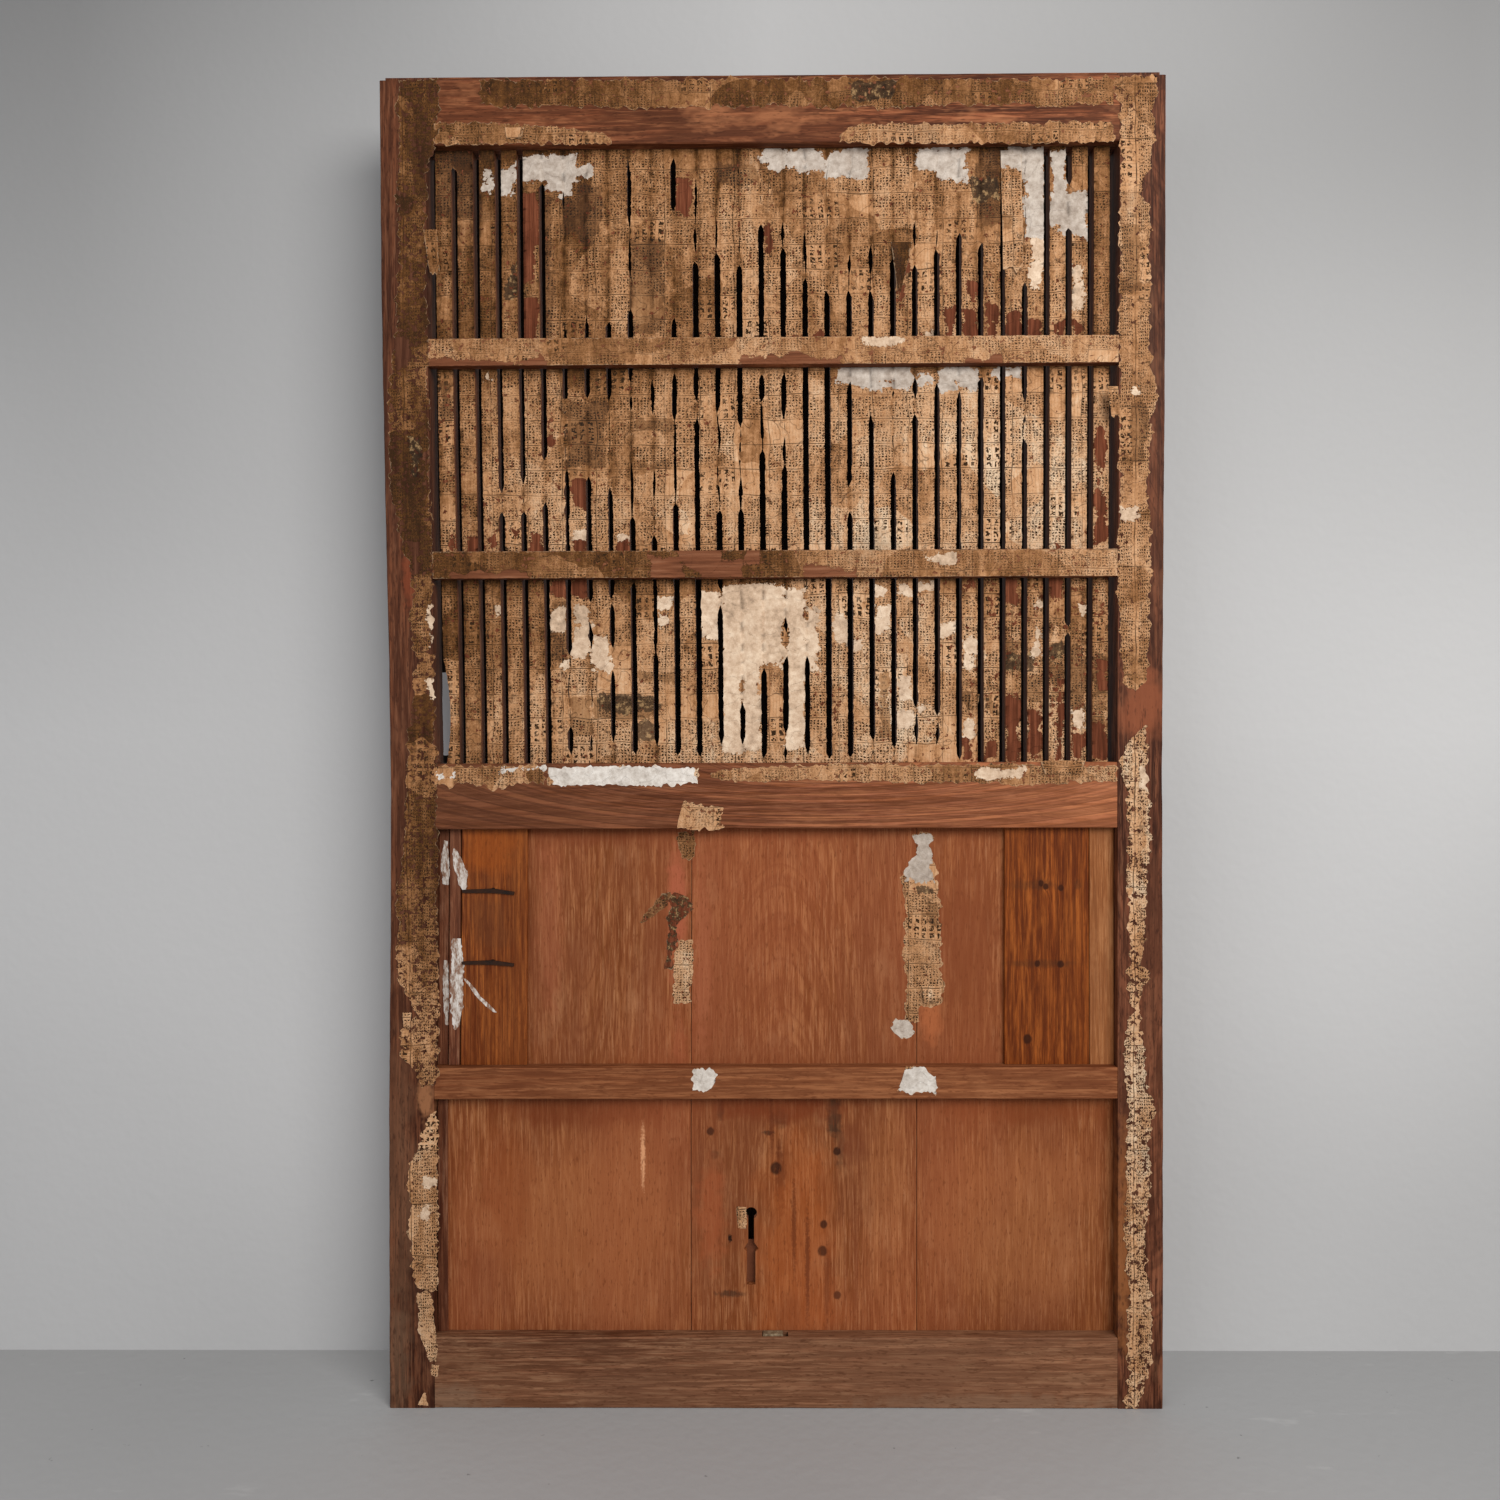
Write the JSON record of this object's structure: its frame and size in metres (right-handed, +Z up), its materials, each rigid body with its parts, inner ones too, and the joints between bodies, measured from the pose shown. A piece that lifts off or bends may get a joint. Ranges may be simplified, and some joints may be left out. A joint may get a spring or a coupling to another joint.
{
  "type": "wooden sliding door",
  "caption": "Old storehouse sliding door leaf: upright-bar lattice over plank panels, torn pasted newspaper, keyhole, clenched pull handle and a drop bolt.",
  "frame": {"origin": "middle of the leaf's bottom edge, half way through its thickness", "axes": "+Z up the leaf, -Y out of the papered side, +X to the right seen from the papered side"},
  "size_m": [1.03, 0.0677, 1.766],
  "materials": {
    "frame_wood": "weathered, worn oil finish",
    "lattice_wood": "weathered",
    "board_wood": "weathered, matt",
    "cedar_wood": "weathered, matt",
    "pale_wood": "weathered, matt",
    "bolt_wood": "worn, grey",
    "forged_iron": "forged, dark rust",
    "rusty_iron": "rusted",
    "newsprint": "aged, torn, matt"
  },
  "bodies": {
    "leaf": {"left_stile": "frame_wood", "right_stile": "frame_wood", "top_rail": "frame_wood", "middle_rail": "frame_wood", "panel_rail": "frame_wood", "bottom_rail": "frame_wood", "lattice_rail_lower": "frame_wood", "lattice_rail_upper": "frame_wood", "lattice_bar_01": "lattice_wood", "lattice_bar_02": "lattice_wood", "lattice_bar_03": "lattice_wood", "lattice_bar_04": "lattice_wood", "lattice_bar_05": "lattice_wood", "lattice_bar_06": "lattice_wood", "lattice_bar_07": "lattice_wood", "lattice_bar_08": "lattice_wood", "lattice_bar_09": "lattice_wood", "lattice_bar_10": "lattice_wood", "lattice_bar_11": "lattice_wood", "lattice_bar_12": "lattice_wood", "lattice_bar_13": "lattice_wood", "lattice_bar_14": "lattice_wood", "lattice_bar_15": "lattice_wood", "lattice_bar_16": "lattice_wood", "lattice_bar_17": "lattice_wood", "lattice_bar_18": "lattice_wood", "lattice_bar_19": "lattice_wood", "lattice_bar_20": "lattice_wood", "lattice_bar_21": "lattice_wood", "lattice_bar_22": "lattice_wood", "lattice_bar_23": "lattice_wood", "lattice_bar_24": "lattice_wood", "lattice_bar_25": "lattice_wood", "lattice_bar_26": "lattice_wood", "lattice_bar_27": "lattice_wood", "lattice_bar_28": "lattice_wood", "lattice_bar_29": "lattice_wood", "lattice_bar_30": "lattice_wood", "lattice_bar_31": "lattice_wood", "board_left": "board_wood", "board_centre": "board_wood", "board_right": "board_wood", "edge_strip_lower": "board_wood", "edge_strip_upper": "board_wood", "cedar_board_left": "cedar_wood", "cedar_board_right": "cedar_wood", "narrow_strip": "cedar_wood", "cedar_strip_right": "pale_wood", "pull_handle": "forged_iron", "keyhole_plate": "rusty_iron", "paper_upper_bay": "newsprint", "paper_middle_bay": "newsprint", "paper_lower_bay": "newsprint", "paper_frame": "newsprint", "paper_panels": "newsprint"},
    "bolt": {"drop_bolt": "bolt_wood"}
  },
  "joints": [
    {"name": "bolt_slide", "type": "slide", "parent": "leaf", "child": "bolt", "axis": [0, 0, 1], "range_m": [-0.018, 0]}
  ]
}
